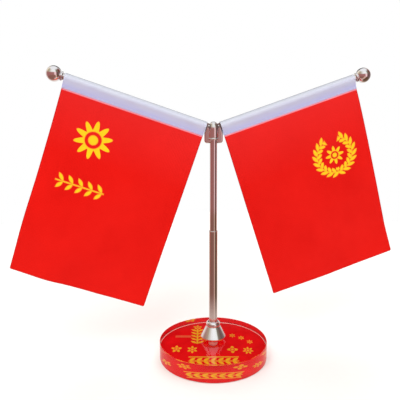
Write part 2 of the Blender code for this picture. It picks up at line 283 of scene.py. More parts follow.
def polishedChrome(name, way, stretch):
    # Decorative chrome over bright nickel: a dark clear mirror, slightly hazy where hands have held it
    made, tree, shader = newMaterial(name, {"Base Color": chromeLook["colour"][way], "Metallic": 1.0})
    place = addNode(tree, "TexCoord").outputs["Object"]
    patches = addNode(tree, "TexNoise", {"Vector": place, "Scale": 1 / (chromeLook["hazeSize"] * mm),
                      "Detail": 3.0})
    rough = addNode(tree, "MapRange", [patches, 0.35, 0.7, *chromeLook["haze"][way]])
    lined = addNode(tree, "Mapping", {"Vector": place, "Scale": stretch})
    lines = addNode(tree, "TexNoise", {"Vector": lined, "Scale": 1 / (chromeLook["drawLine"] * mm),
                    "Detail": 2.0})
    bump = addNode(tree, "Bump", {"Strength": 0.3, "Distance": chromeLook["drawDepth"] * mm,
                   "Height": lines})
    setInputs(tree, shader, {"Roughness": rough, "Normal": bump})
    return made


steelLook = {"colour": "#a9a7a2", "rough": (0.22, 0.36), "grain": 0.3}


def zincSteel():
    # Bright zinc on turned steel: paler and duller than chrome, with a fine mottle
    made, tree, shader = newMaterial("zincSteel", {"Base Color": steelLook["colour"], "Metallic": 1.0})
    place = addNode(tree, "TexCoord").outputs["Object"]
    mottle = addNode(tree, "TexNoise", {"Vector": place, "Scale": 1 / (steelLook["grain"] * mm),
                     "Detail": 4.0})
    rough = addNode(tree, "MapRange", [mottle, 0.3, 0.7, *steelLook["rough"]])
    setInputs(tree, shader, {"Roughness": rough})
    return made


brassLook = {"bright": "#d9b36a", "dull": "#b58a48", "ring": 0.3, "rough": (0.38, 0.22)}


def turnedBrass():
    # Free-cutting brass from the lathe: fine rings round the axis, bright and dull in turn
    made, tree, shader = newMaterial("turnedBrass", {"Metallic": 1.0})
    height = addNode(tree, "SeparateXYZ", [addNode(tree, "TexCoord").outputs["Object"]])
    phase = addNode(tree, "Math", [height.outputs["Z"], 2 * pi / (brassLook["ring"] * mm)],
                    operation="MULTIPLY")
    rings = addNode(tree, "Math", [phase], operation="SINE")
    share = addNode(tree, "MapRange", [rings, -1.0, 1.0, 0.0, 1.0])
    colour = addNode(tree, "Mix", [share, brassLook["dull"], brassLook["bright"]], data_type="RGBA")
    rough = addNode(tree, "MapRange", [share, 0.0, 1.0, *brassLook["rough"]])
    setInputs(tree, shader, {"Base Color": colour, "Roughness": rough})
    return made


# lines run up the pole's tubes, which were pulled through a die, and round the cone, which was turned
drawnChrome = polishedChrome("drawnChrome", "drawn", (1, 1, 0.02))
turnedChrome = polishedChrome("turnedChrome", "turned", (0.04, 0.04, 1))
castChrome = polishedChrome("castChrome", "cast", (0.4, 0.4, 0.4))  # a plated casting is only softly uneven
zinc = zincSteel()
brass = turnedBrass()
print("metals made")

# plastics

acrylicLook = {
    "tint": "#fdf6f5",
    "index": 1.49,
    "polished": (0.01, 0.05),   # roughness of the flame-polished faces, and of smudges on them
    "drilled": (0.3, 0.5),      # roughness of the drilled pocket, across its tool marks
    "smudge": 14.0,             # mm
    "toolMark": 0.35,           # mm between turns of the drill
    # white cement, with painted light: the pink stands for the red film's glow in the pocket
    "cementWithPaintedGlow": ("#f3bdb6", "#ffe9e4"),
}


def castAcrylic():
    # Cut from cast acrylic sheet, with flame-polished rims: clear, and faintly smudged where it is handled
    made, tree, shader = newMaterial("castAcrylic", {"Base Color": acrylicLook["tint"],
                                                     "Transmission Weight": 1.0, "IOR": acrylicLook["index"]})
    place = addNode(tree, "TexCoord").outputs["Object"]
    smudges = addNode(tree, "TexNoise", {"Vector": place, "Scale": 1 / (acrylicLook["smudge"] * mm),
                      "Detail": 3.0})
    rough = addNode(tree, "MapRange", [smudges, 0.35, 0.7, *acrylicLook["polished"]])
    setInputs(tree, shader, {"Roughness": rough})
    return made


clearAcrylic = castAcrylic()


def cementedPocket():
    # The drill leaves the pocket white, and the cement that holds the stud keeps it so; its pink is painted
    # light, the glow of the red film under it
    made, tree, shader = newMaterial("cementedPocket", {"Specular IOR Level": 0.0})
    place = addNode(tree, "TexCoord").outputs["Object"]
    lined = addNode(tree, "Mapping", {"Vector": place, "Scale": (0.1, 0.1, 1)})
    marks = addNode(tree, "TexNoise", {"Vector": lined, "Scale": 1 / (acrylicLook["toolMark"] * mm)})
    colour = addNode(tree, "Mix", [marks, *acrylicLook["cementWithPaintedGlow"]], data_type="RGBA")
    rough = addNode(tree, "MapRange", [marks, 0.3, 0.7, *acrylicLook["drilled"]])
    setInputs(tree, shader, {"Base Color": colour, "Roughness": rough})
    return made


pocketWall = cementedPocket()

# printed shapes as signed distances in mm, negative inside; x and y are nodes that hold mm


def polar(tree, x, y, centre):
    dx = addNode(tree, "Math", [x, centre[0]], operation="SUBTRACT")
    dy = addNode(tree, "Math", [y, centre[1]], operation="SUBTRACT")
    spot = addNode(tree, "CombineXYZ", [dx, dy])
    radius = addNode(tree, "VectorMath", [spot], operation="LENGTH").outputs["Value"]
    return dx, dy, radius


def boxShape(tree, x, y, centre, halfWidth, halfHeight):
    sides = []
    for value, middle, half in ((x, centre[0], halfWidth), (y, centre[1], halfHeight)):
        off = addNode(tree, "Math", [value, middle], operation="SUBTRACT")
        far = addNode(tree, "Math", [off], operation="ABSOLUTE")
        sides.append(addNode(tree, "Math", [far, half], operation="SUBTRACT"))
    return addNode(tree, "Math", sides, operation="MAXIMUM")


def rosetteShape(tree, x, y, centre, radius, wave, petals, stretch=1.0):
    # Flower with round petals, stretched in y, with an open ring round its eye
    ringPlace, ringWidth = 0.45 * radius, 0.12 * radius
    tall = addNode(tree, "Math", [y, 1 / stretch], operation="MULTIPLY")
    dx, dy, far = polar(tree, x, tall, (centre[0], centre[1] / stretch))
    angle = addNode(tree, "Math", [dx, dy], operation="ARCTAN2")
    turns = addNode(tree, "Math", [angle, float(petals)], operation="MULTIPLY")
    ripple = addNode(tree, "Math", [turns], operation="COSINE")
    edge = addNode(tree, "Math", [ripple, wave, radius], operation="MULTIPLY_ADD")
    petal = addNode(tree, "Math", [far, edge], operation="SUBTRACT")
    offRing = addNode(tree, "Math", [far, ringPlace], operation="SUBTRACT")
    ring = addNode(tree, "Math", [offRing], operation="ABSOLUTE")
    cut = addNode(tree, "Math", [ringWidth, ring], operation="SUBTRACT")
    return addNode(tree, "Math", [petal, cut], operation="MAXIMUM")


def leafShape(tree, along, across, tilt, half, width):
    # Pointed leaf round the origin of (across, along), its length turned by tilt towards across
    length = addNode(tree, "Math", [across, sin(radians(tilt)),
                     addNode(tree, "Math", [along, cos(radians(tilt))], operation="MULTIPLY")],
                     operation="MULTIPLY_ADD")
    side = addNode(tree, "Math", [across, cos(radians(tilt)),
                   addNode(tree, "Math", [along, -sin(radians(tilt))], operation="MULTIPLY")],
                   operation="MULTIPLY_ADD")
    square = addNode(tree, "Math", [length, length], operation="MULTIPLY")
    far = addNode(tree, "Math", [side], operation="ABSOLUTE")
    narrow = addNode(tree, "Math", [square, width / half ** 2, -width], operation="MULTIPLY_ADD")
    return addNode(tree, "Math", [far, narrow], operation="ADD")


def sprigShape(tree, along, side, pairs, leaf):
    # Straight stem with pairs of leaves; along and side are in mm from the stem's middle
    half = pairs * leaf["pitch"]
    stem = boxShape(tree, along, side, (0, 0), half, leaf["stem"])
    far = addNode(tree, "Math", [side], operation="ABSOLUTE")
    across = addNode(tree, "Math", [far, leaf["off"]], operation="SUBTRACT")
    wrapped = addNode(tree, "Math", [along, leaf["pitch"], -leaf["pitch"]], operation="WRAP")
    leaves = leafShape(tree, wrapped, across, leaf["tilt"], leaf["half"], leaf["width"])
    bounds = boxShape(tree, along, side, (0, 0), half, 2.5 * leaf["off"])
    trimmed = addNode(tree, "Math", [leaves, bounds], operation="MAXIMUM")
    return addNode(tree, "Math", [stem, trimmed], operation="MINIMUM")


def union(tree, shapes):
    whole = shapes[0]
    for shape in shapes[1:]:
        whole = addNode(tree, "Math", [whole, shape], operation="MINIMUM")
    return whole


def inked(tree, shape, soft=0.12, grow=0.0):
    # 1 where the shape is printed, with an edge as soft as the ink's spread
    return addNode(tree, "MapRange", [shape, grow + soft, grow - soft, 0.0, 1.0])


def wreathShape(tree, x, y, centre, size):
    # Two rows of leaves that climb both sides of an open ring, with a rosette inside
    dx, dy, radius = polar(tree, x, y, centre)
    half = addNode(tree, "Math", [dx], operation="ABSOLUTE")
    down = addNode(tree, "Math", [dy, -1.0], operation="MULTIPLY")
    climb = addNode(tree, "Math", [half, down], operation="ARCTAN2")
    step = radians(wreath["climb"]) / wreath["leaves"]
    shapes = []
    for row in wreath["rows"]:
        start = addNode(tree, "Math", [climb, step * row["start"]], operation="SUBTRACT")
        wrapped = addNode(tree, "Math", [start, step / 2, -step / 2], operation="WRAP")
        cosine = addNode(tree, "Math", [wrapped], operation="COSINE")
        sine = addNode(tree, "Math", [wrapped], operation="SINE")
        across = addNode(tree, "Math", [radius, cosine, -row["ring"] * size], operation="MULTIPLY_ADD")
        along = addNode(tree, "Math", [radius, sine], operation="MULTIPLY")
        shapes.append(leafShape(tree, along, across, row["tilt"], row["half"] * size, row["width"] * size))
    offStem = addNode(tree, "Math", [radius, wreath["stem"] * size], operation="SUBTRACT")
    stem = addNode(tree, "Math", [offStem], operation="ABSOLUTE")
    shapes.append(addNode(tree, "Math", [stem, wreath["stemWidth"] * size], operation="SUBTRACT"))
    over = addNode(tree, "Math", [climb, radians(wreath["climb"])], operation="SUBTRACT")
    gap = addNode(tree, "Math", [over, radius], operation="MULTIPLY")
    ring = addNode(tree, "Math", [union(tree, shapes), gap], operation="MAXIMUM")
    eye = rosetteShape(tree, x, y, centre, 0.3 * size, 0.1 * size, 8)
    return addNode(tree, "Math", [ring, eye], operation="MINIMUM")


# the wreath's other lengths are shares of its radius
wreath = {
    "radius": 13.0, "across": 54.9, "drop": 30.8,    # mm, its middle from the flag's side and below the seam
    "climb": 158.0,      # degrees from the bottom to the open top
    "leaves": 9,
    "stem": 0.77, "stemWidth": 0.025,
    "rows": [{"ring": 0.86, "tilt": 38, "half": 0.2, "width": 0.072, "start": 0.5},
             {"ring": 0.67, "tilt": -38, "half": 0.19, "width": 0.068, "start": 0.9}],
}

filmLook = {
    "red": "#ff1218",
    "deepRed": "#f20b12",
    "gold": "#ffcb26",
    "goldEdge": "#ff8438",
    "faint": "#f98a55",
    "turn": 6.3,         # degrees that the print is turned to the flags
    # flowers: middle, number of petals; then radius, height of the petals' wave, and stretch in y
    "row": [(-20.4, -5.0, 5), (-11.6, -5.6, 6), (10.6, -5.6, 4), (19.1, -6.7, 7)],
    "rowSize": (2.2, 0.75), "smallSize": (1.3, 0.45), "headSize": (2.1, 0.6), "stretch": 1.35,
    "small": [(11.5, 11.5, 6), (16.5, 8.5, 6), (21.0, 3.5, 6)],
    "border": -18.2, "borderPairs": 7, "borderLines": (-13.9, -22.5), "borderHalf": (13.4, 0.5),
    "sprigPlace": (-8.9, 10.8), "sprigPairs": 5, "sprigHead": 11.8,
    "ribbon": ((-17.1, 10.3), 4.6, 1.3),
    "mottle": 9.0,       # mm between paler and deeper patches of ink
    "sprig": {"pitch": 1.9, "stem": 0.5, "off": 1.9, "tilt": 50, "half": 2.4, "width": 0.85},
    "borderSprig": {"pitch": 1.9, "stem": 0.45, "off": 1.7, "tilt": 50, "half": 2.3, "width": 1.0},
}


def printedFilm():
    # Film printed in red with gold ornaments, and slightly mottled by the ink
    made, tree, shader = newMaterial("printedFilm", {"Roughness": 0.5, "Specular IOR Level": 0.0})
    place = addNode(tree, "TexCoord").outputs["Object"]
    scaled = addNode(tree, "Mapping", {"Vector": place, "Scale": (1 / mm, 1 / mm, 1 / mm),
                                       "Rotation": (0, 0, radians(filmLook["turn"]))})
    axes = addNode(tree, "SeparateXYZ", [scaled])
    x, y = axes.outputs["X"], axes.outputs["Y"]
    shapes = []
    # four flowers in a row, two each side of the pole, and three small ones at the right
    for kind in ("row", "small"):
        for middle, low, petals in filmLook[kind]:
            shapes.append(rosetteShape(tree, x, y, (middle, low), *filmLook[kind + "Size"], petals,
                                       filmLook["stretch"]))
    # a leafy border at the front, between two plain lines
    side = addNode(tree, "Math", [y, filmLook["border"]], operation="SUBTRACT")
    shapes.append(sprigShape(tree, x, side, filmLook["borderPairs"], filmLook["borderSprig"]))
    for low in filmLook["borderLines"]:
        shapes.append(boxShape(tree, x, y, (0, low), *filmLook["borderHalf"]))
    # a sprig at the left, with a flower on top
    middle, centre = filmLook["sprigPlace"]
    along = addNode(tree, "Math", [y, centre], operation="SUBTRACT")
    side = addNode(tree, "Math", [x, middle], operation="SUBTRACT")
    shapes.append(sprigShape(tree, along, side, filmLook["sprigPairs"], filmLook["sprig"]))
    head = (middle, centre + filmLook["sprigHead"])
    shapes.append(rosetteShape(tree, x, y, head, *filmLook["headSize"], 5))
    gold = union(tree, shapes)
    # a pale ribbon is only lightly printed
    ribbon = boxShape(tree, x, y, *filmLook["ribbon"])

    mottle = addNode(tree, "TexNoise", {"Vector": place, "Scale": 1 / (filmLook["mottle"] * mm),
                     "Detail": 2.0})
    shade = addNode(tree, "MapRange", [mottle, 0.3, 0.7, 0.0, 1.0])
    red = addNode(tree, "Mix", [shade, filmLook["red"], filmLook["deepRed"]], data_type="RGBA")
    pale = addNode(tree, "Math", [inked(tree, ribbon), 0.5], operation="MULTIPLY")
    washed = addNode(tree, "Mix", [pale, red, filmLook["faint"]], data_type="RGBA")
    edged = addNode(tree, "Mix", [inked(tree, gold, 0.15, 0.12), washed, filmLook["goldEdge"]],
                    data_type="RGBA")
    final = addNode(tree, "Mix", [inked(tree, gold, 0.15, -0.16), edged, filmLook["gold"]], data_type="RGBA")
    setInputs(tree, shader, {"Base Color": final})
    return made


film = printedFilm()
print("plastics made")

# cloth

clothLook = {
    "red": "#df1107",
    "deepRed": "#d20c04",
    "paleRed": "#e43434",       # beside the seam, where the light comes through two layers
    "gold": "#f3cd1d",
    "goldEdge": "#f0952a",
    "sewnEdge": "#f6a4b4",     # the seam's edge, where white thread shows through the red
    "thread": 0.9,             # mm between threads; the real 0.3 would not show
    "threadDepth": 0.03,       # mm
    "rough": (0.62, 0.74),
    "cutEdge": 0.45,           # mm of heat-sealed edge, darker and smoother
    "sealed": "#7d0f0d",
    "paleBand": 32,            # mm at the top that turn paler towards the seam
    "sewnBand": (0.85, 0.5),   # mm below the seam where its edge begins to show, and shows fully
    "waviness": 35.0,          # mm between the cloth's paler and deeper patches
}


def bunting(name, motif):
    # Dye-printed woven polyester: matt, with a soft sheen; the hot knife seals its edges
    made, tree, shader = newMaterial(name, {"Sheen Weight": 0.03, "Sheen Roughness": 0.45,
                                            "Specular IOR Level": 0.12})
    spot = addNode(tree, "UVMap", uv_map="cloth")
    axes = addNode(tree, "SeparateXYZ", [spot])
    x = addNode(tree, "Math", [axes.outputs["X"], flag["hoist"]], operation="MULTIPLY")
    y = addNode(tree, "Math", [axes.outputs["Y"], flag["fly"]], operation="MULTIPLY")

    # plain weave: warp and weft cross over in turn
    waves = []
    for value in (x, y):
        phase = addNode(tree, "Math", [value, pi / clothLook["thread"]], operation="MULTIPLY")
        waves.append(addNode(tree, "Math", [phase], operation="SINE"))
    weave = addNode(tree, "Math", waves, operation="MULTIPLY")
    bump = addNode(tree, "Bump", {"Strength": 0.5, "Distance": clothLook["threadDepth"] * mm,
                   "Height": weave})

    patches = addNode(tree, "TexNoise", {"Vector": spot, "Scale": flag["fly"] / clothLook["waviness"],
                      "Detail": 3.0})
    shade = addNode(tree, "MapRange", [patches, 0.3, 0.7, 0.0, 0.8])
    weft = addNode(tree, "Math", [weave, 0.12, shade], operation="MULTIPLY_ADD")
    red = addNode(tree, "Mix", [weft, clothLook["red"], clothLook["deepRed"]], data_type="RGBA")
    high = addNode(tree, "MapRange", [y, flag["fly"] - clothLook["paleBand"], flag["fly"], 0.0, 0.4])
    paler = addNode(tree, "Mix", [high, red, clothLook["paleRed"]], data_type="RGBA")
    shape = motif(tree, x, y)
    edged = addNode(tree, "Mix", [inked(tree, shape, 0.2, 0.1), paler, clothLook["goldEdge"]],
                    data_type="RGBA")
    gold = addNode(tree, "Mix", [inked(tree, shape, 0.2, -0.2), edged, clothLook["gold"]], data_type="RGBA")

    # sewn edge at the top, and sealed edges on the other three sides
    seam = flag["fly"] - flag["tuck"]
    first, full = clothLook["sewnBand"]
    sewn = addNode(tree, "MapRange", [y, seam - first, seam - full, 0.0, 0.9])
    joined = addNode(tree, "Mix", [sewn, gold, clothLook["sewnEdge"]], data_type="RGBA")
    far = addNode(tree, "Math", [flag["hoist"], x], operation="SUBTRACT")
    nearest = addNode(tree, "Math", [addNode(tree, "Math", [x, far], operation="MINIMUM"), y],
                      operation="MINIMUM")
    sealed = addNode(tree, "MapRange", [nearest, clothLook["cutEdge"], 0.1, 0.0, 0.55])
    final = addNode(tree, "Mix", [sealed, joined, clothLook["sealed"]], data_type="RGBA")
    rough = addNode(tree, "MapRange", [patches, 0.3, 0.7, *clothLook["rough"]])
    smooth = addNode(tree, "Math", [sealed, -0.4, rough], operation="MULTIPLY_ADD")
    setInputs(tree, shader, {"Normal": bump, "Base Color": final, "Roughness": smooth})
    return made


tapeLook = {
    # painted shade: the top is darker than white satin, against the strong light from above
    "top": "#cdd6e2",
    # painted shade: darker lilac where the tape turns down under the arm
    "low": "#b6bee8",
    "edge": "#f2a3b4",
    "fold": "#83868f",    # painted shade along the fold over the arm
    "twill": 0.8,         # mm between the ribs of the satin; the real 0.2 would not show
    "ribDepth": 0.012,    # mm
    "wide": 17.9,         # mm across the tape, for the ribs' slant
}


def satinTape():
    # White satin ribbon: long floats that shine along the arm; its colour turns darker and lilac where it
    # goes down under the arm, which is painted shade
    made, tree, shader = newMaterial("satinTape", {"Sheen Weight": 0.25, "Sheen Roughness": 0.3,
                                                   "Anisotropic": 0.4})
    spot = addNode(tree, "UVMap", uv_map="cloth")
    axes = addNode(tree, "SeparateXYZ", [spot])
    off = addNode(tree, "Math", [axes.outputs["Y"], 0.5], operation="SUBTRACT")
    down = addNode(tree, "Math", [off], operation="ABSOLUTE")
    patches = addNode(tree, "TexNoise", {"Vector": spot, "Scale": 7.0, "Detail": 2.0})
    uneven = addNode(tree, "Math", [patches, 0.16, -0.08], operation="MULTIPLY_ADD")
    level = addNode(tree, "Math", [down, uneven], operation="ADD")
    share = addNode(tree, "MapRange", [level, 0.1, 0.42, 0.0, 1.0])
    # painted shade: from the top colour to the darker lilac low one, down the tape
    whiteToPaintedShade = addNode(tree, "Mix", [share, tapeLook["top"], tapeLook["low"]], data_type="RGBA")
    # painted shade: a grey line along the fold at the top of the tape
    fold = addNode(tree, "MapRange", [down, 0.15, 0.02, 0.0, 0.8])
    foldPaintedShade = addNode(tree, "Mix", [fold, whiteToPaintedShade, tapeLook["fold"]], data_type="RGBA")
    edge = addNode(tree, "MapRange", [down, 0.484, 0.497, 0.0, 0.8])
    final = addNode(tree, "Mix", [edge, foldPaintedShade, tapeLook["edge"]], data_type="RGBA")
    phase = addNode(tree, "Math", [axes.outputs["X"], 2 * pi * flag["hoist"] / tapeLook["twill"]],
                    operation="MULTIPLY")
    slant = addNode(tree, "Math", [axes.outputs["Y"], 2 * pi * tapeLook["wide"] / tapeLook["twill"], phase],
                    operation="MULTIPLY_ADD")
    ribs = addNode(tree, "Math", [slant], operation="SINE")
    bump = addNode(tree, "Bump", {"Strength": 0.4, "Distance": tapeLook["ribDepth"] * mm, "Height": ribs})
    rough = addNode(tree, "MapRange", [patches, 0.3, 0.7, 0.38, 0.5])
    setInputs(tree, shader, {"Base Color": final, "Normal": bump, "Roughness": rough})
    return made


stitch = {"pitch": 2.5, "length": 1.8, "radius": 0.13, "taper": 0.08, "tip": 0.6, "lift": 0.03,
          "dark": "#b9bad8", "light": "#d2d3e6", "ply": 0.4}


def sewingThread():
    # Spun polyester thread, off-white and slightly uneven in colour
    made, tree, shader = newMaterial("sewingThread", {"Sheen Weight": 0.2})
    place = addNode(tree, "TexCoord").outputs["Object"]
    plies = addNode(tree, "TexNoise", {"Vector": place, "Scale": 1 / (stitch["ply"] * mm), "Detail": 1.0})
    colour = addNode(tree, "Mix", [plies, stitch["dark"], stitch["light"]], data_type="RGBA")
    rough = addNode(tree, "MapRange", [plies, 0.3, 0.7, 0.5, 0.7])
    setInputs(tree, shader, {"Base Color": colour, "Roughness": rough})
    return made


sleeveLow, sleeveHigh = boxAlongArm("right_flag_sleeve")
clothLow, clothHigh = boxAlongArm("right_flag_cloth")
flag = {
    "hoist": clothHigh.x - clothLow.x,
    "tuck": 0.7,                        # mm of cloth between the two layers of tape
    "thickness": 0.22,
    "columns": 60, "rows": 80,
    "lean": {"left": 1.7, "right": 7.6},  # degrees that each hangs back from its arm's plane
    "bend": 5.0,                        # mm below the seam over which that bend starts
    "seam": 0.05 - clothHigh.z,         # mm that the tape's lower edge lies below the arm's axis
    "start": clothLow.x,
}
flag["top"] = clothHigh.z + flag["tuck"]
flag["fly"] = flag["top"] - clothLow.z
flagFlower = {"across": 0.705, "drop": 20.3, "radius": 7.7, "wave": 2.3, "petals": 10}
flagSprig = {"across": 0.7, "drop": 45.5, "pairs": 5, "pitch": 2.6, "stem": 0.35, "off": 2.1, "tilt": 50,
             "half": 2.5, "width": 0.95}


def leftMotif(tree, x, y):
    # Large ten-petalled flower over one straight leafy sprig
    seam = flag["fly"] - flag["tuck"]
    middle = (flag["hoist"] * flagFlower["across"], seam - flagFlower["drop"])
    flower = rosetteShape(tree, x, y, middle, flagFlower["radius"], flagFlower["wave"], flagFlower["petals"])
    along = addNode(tree, "Math", [x, flag["hoist"] * flagSprig["across"]], operation="SUBTRACT")
    side = addNode(tree, "Math", [y, seam - flagSprig["drop"]], operation="SUBTRACT")
    return union(tree, [flower, sprigShape(tree, along, side, flagSprig["pairs"], flagSprig)])


def rightMotif(tree, x, y):
    # Open leaf wreath round a rosette
    seam = flag["fly"] - flag["tuck"]
    return wreathShape(tree, x, y, (wreath["across"], seam - wreath["drop"]), wreath["radius"])


buntings = {"left": bunting("buntingWithFlower", leftMotif),
            "right": bunting("buntingWithWreath", rightMotif)}
satin = satinTape()
thread = sewingThread()
print("cloths made")

# base: clear disc, printed film, stud, cone nut and collar

base = {
    "rim": 0.28,          # polished round on both rims
    "pocketTaper": 0.9,
    # the stud's shoulder below the disc's top, its shank inside the tube, and the slant at its end
    "shoulderSink": 0.3, "shankGap": 0.3, "tip": 0.4,
    "studRoot": 2.3, "studGap": 0.03, "ring": 0.6, "ringDepth": 0.12,
    "filmEdge": 0.06,
}


def makeBase():
    low, high = boxOf("base_disc")
    studLow, studHigh = boxOf("base_stud")
    pocket = studLow.z - base["studGap"]
    root = base["studRoot"] + base["studGap"]
    disc = turned("clear_disc", [(0, low.z), (high.x, low.z), (high.x, high.z),
                                 (root + base["pocketTaper"], high.z), (root, pocket), (0, pocket)],
                  sides=160)
    breakEdges(disc, base["rim"], segments=5, angle=50)
    dress(disc, clearAcrylic, "base", "clear_acrylic", "base_disc")
    disc.data.materials.append(pocketWall)
    # the sheet is glued on without air, so its print shows through the wall too
    disc.data.materials.append(film)
    for face in disc.data.polygons:
        middle = face.center / mm
        if hypot(middle.x, middle.y) < root + base["pocketTaper"] and pocket - 0.1 < middle.z < high.z - 0.05:
            face.material_index = 1
        elif face.normal.z < -0.99:
            face.material_index = 2

    low, high = boxOf("print_film")
    sheet = turned("printed_sheet", [(0, low.z), (high.x, low.z), (high.x, high.z), (0, high.z)], sides=160)
    breakEdges(sheet, base["filmEdge"], segments=2, angle=50)
    dress(sheet, film, "base", "printed_film", "print_film")

    # the root is ringed to hold in the glue, then a plain shank goes up the tube
    shoulder = boxOf("base_disc")[1].z - base["shoulderSink"]
    shank = boxOf("lower_tube")[1].x - base["shankGap"]
    outline = [(0, studLow.z), (base["studRoot"], studLow.z)]
    rings = int((shoulder - studLow.z) / base["ring"])
    for ring in range(rings):
        foot = studLow.z + ring * base["ring"]
        wide = base["studRoot"] + base["pocketTaper"] * (foot - studLow.z) / (shoulder - studLow.z)
        outline += [(wide, foot + 0.15), (wide, foot + 0.35), (wide - base["ringDepth"], foot + 0.5)]
    tip = base["tip"]
    outline += [(shank, shoulder), (shank, studHigh.z - tip), (shank - tip, studHigh.z), (0, studHigh.z)]
    stud = turned("ringed_stud", outline, sides=64)
    breakEdges(stud, 0.04, segments=2)
    dress(stud, zinc, "base", "plated_steel", "base_stud")
    print("base made")


makeBase()

cone = {"foot": 3.75, "top": 3.95, "belly": 2.0, "edge": 0.12, "bore": 2.03, "seat": 3.17, "seatBore": 2.33,
        "collarLip": 0.25, "waist": 0.18}


def makeCone():
    low, high = boxOf("cone_nut")
    belly, foot = high.x, cone["foot"]
    under = [(foot + (belly - foot) * sin(radians(a)), low.z + 0.1 + cone["belly"] * (1 - cos(radians(a))))
             for a in range(0, 91, 6)]
    nut = turned("cone_nut_chrome", [
        (cone["bore"], low.z), (foot, low.z), *under, (belly, low.z + cone["belly"] + 0.35),
        (cone["top"], high.z), (cone["seatBore"], high.z), (cone["seatBore"], low.z + cone["seat"]),
        (cone["bore"], low.z + cone["seat"]), (cone["bore"], low.z)])
    breakEdges(nut, cone["edge"])
    dress(nut, turnedChrome, "base", "chrome", "cone_nut")

    low, high = boxOf("cone_collar")
    wide = high.x
    lip = cone["seatBore"] + cone["collarLip"]
    side = cone["waist"] + 0.55
    rise = high.z - low.z - side
    dome = [(lip + (wide - lip) * cos(radians(a)), low.z + side + rise * sin(radians(a)))
            for a in range(0, 91, 6)]
    collar = turned("cone_collar_chrome", [
        (cone["seatBore"], low.z), (wide - 0.35, low.z), (wide - 0.35, low.z + cone["waist"]),
        (wide, low.z + cone["waist"] + 0.12), *dome, (cone["seatBore"], high.z), (cone["seatBore"], low.z)])
    breakEdges(collar, 0.08)
    dress(collar, turnedChrome, "base", "chrome", "cone_collar")
    print("cone made")


makeCone()

# pole: two tubes, the upper one sliding in the rolled mouth of the lower one

pole = {"lowerWall": 0.25, "upperWall": 0.3, "mouth": 1.4, "lip": 0.04, "bead": 0.12, "cutEdge": 0.06}


def makePole():
    low, high = boxOf("lower_tube")
    upperLow, upperHigh = boxOf("upper_tube")
    wide, bore = high.x, high.x - pole["lowerWall"]
    lip = upperHigh.x + pole["lip"]
    roll = (wide + pole["bead"] - lip) / 2
    centre = (lip + roll, high.z - roll)
    mouth = arc(centre, roll, -60, 180, 20)
    lower = turned("lower_tube_chrome", [
        (bore, low.z), (wide, low.z), (wide, centre[1] - roll * 1.6), *mouth,
        (lip, high.z - pole["mouth"] + 0.1), (bore, high.z - pole["mouth"]), (bore, low.z)], sides=72)
    breakEdges(lower, pole["cutEdge"], segments=2, angle=35)
    dress(lower, drawnChrome, "base", "chrome", "lower_tube")

    wide, bore = upperHigh.x, upperHigh.x - pole["upperWall"]
    upper = turned("upper_tube_chrome", [(bore, upperLow.z), (wide, upperLow.z), (wide, upperHigh.z),
                                         (bore, upperHigh.z), (bore, upperLow.z)], sides=72)
    breakEdges(upper, pole["cutEdge"], segments=2)
    dress(upper, drawnChrome, "mast", "chrome", "upper_tube")
    for node in ("friction_spring", "end_plug"):
        frame["nodes"][node].data.materials.clear()
        frame["nodes"][node].data.materials.append(brass)
    print("pole made")


makePole()

# hub: a domed core, a flat block behind it, and two slots that hold the arms' eyes on pins

hub = {"rim": 5.9, "bead": 0.3, "beadHeight": 1.1, "domeHeight": 5.2, "domePower": 2.5,
       "blockDepth": 2.4, "corner": 1.5, "blockRound": 0.8, "blockEdge": 0.06,
       "cheek": 1.1, "slot": 1.08, "slotOpen": 9, "tongueHalf": 1.75, "floorGap": 0.03, "pinHole": 0.54,
       "socket": 1.98, "socketGap": 0.03, "socketOver": 4}


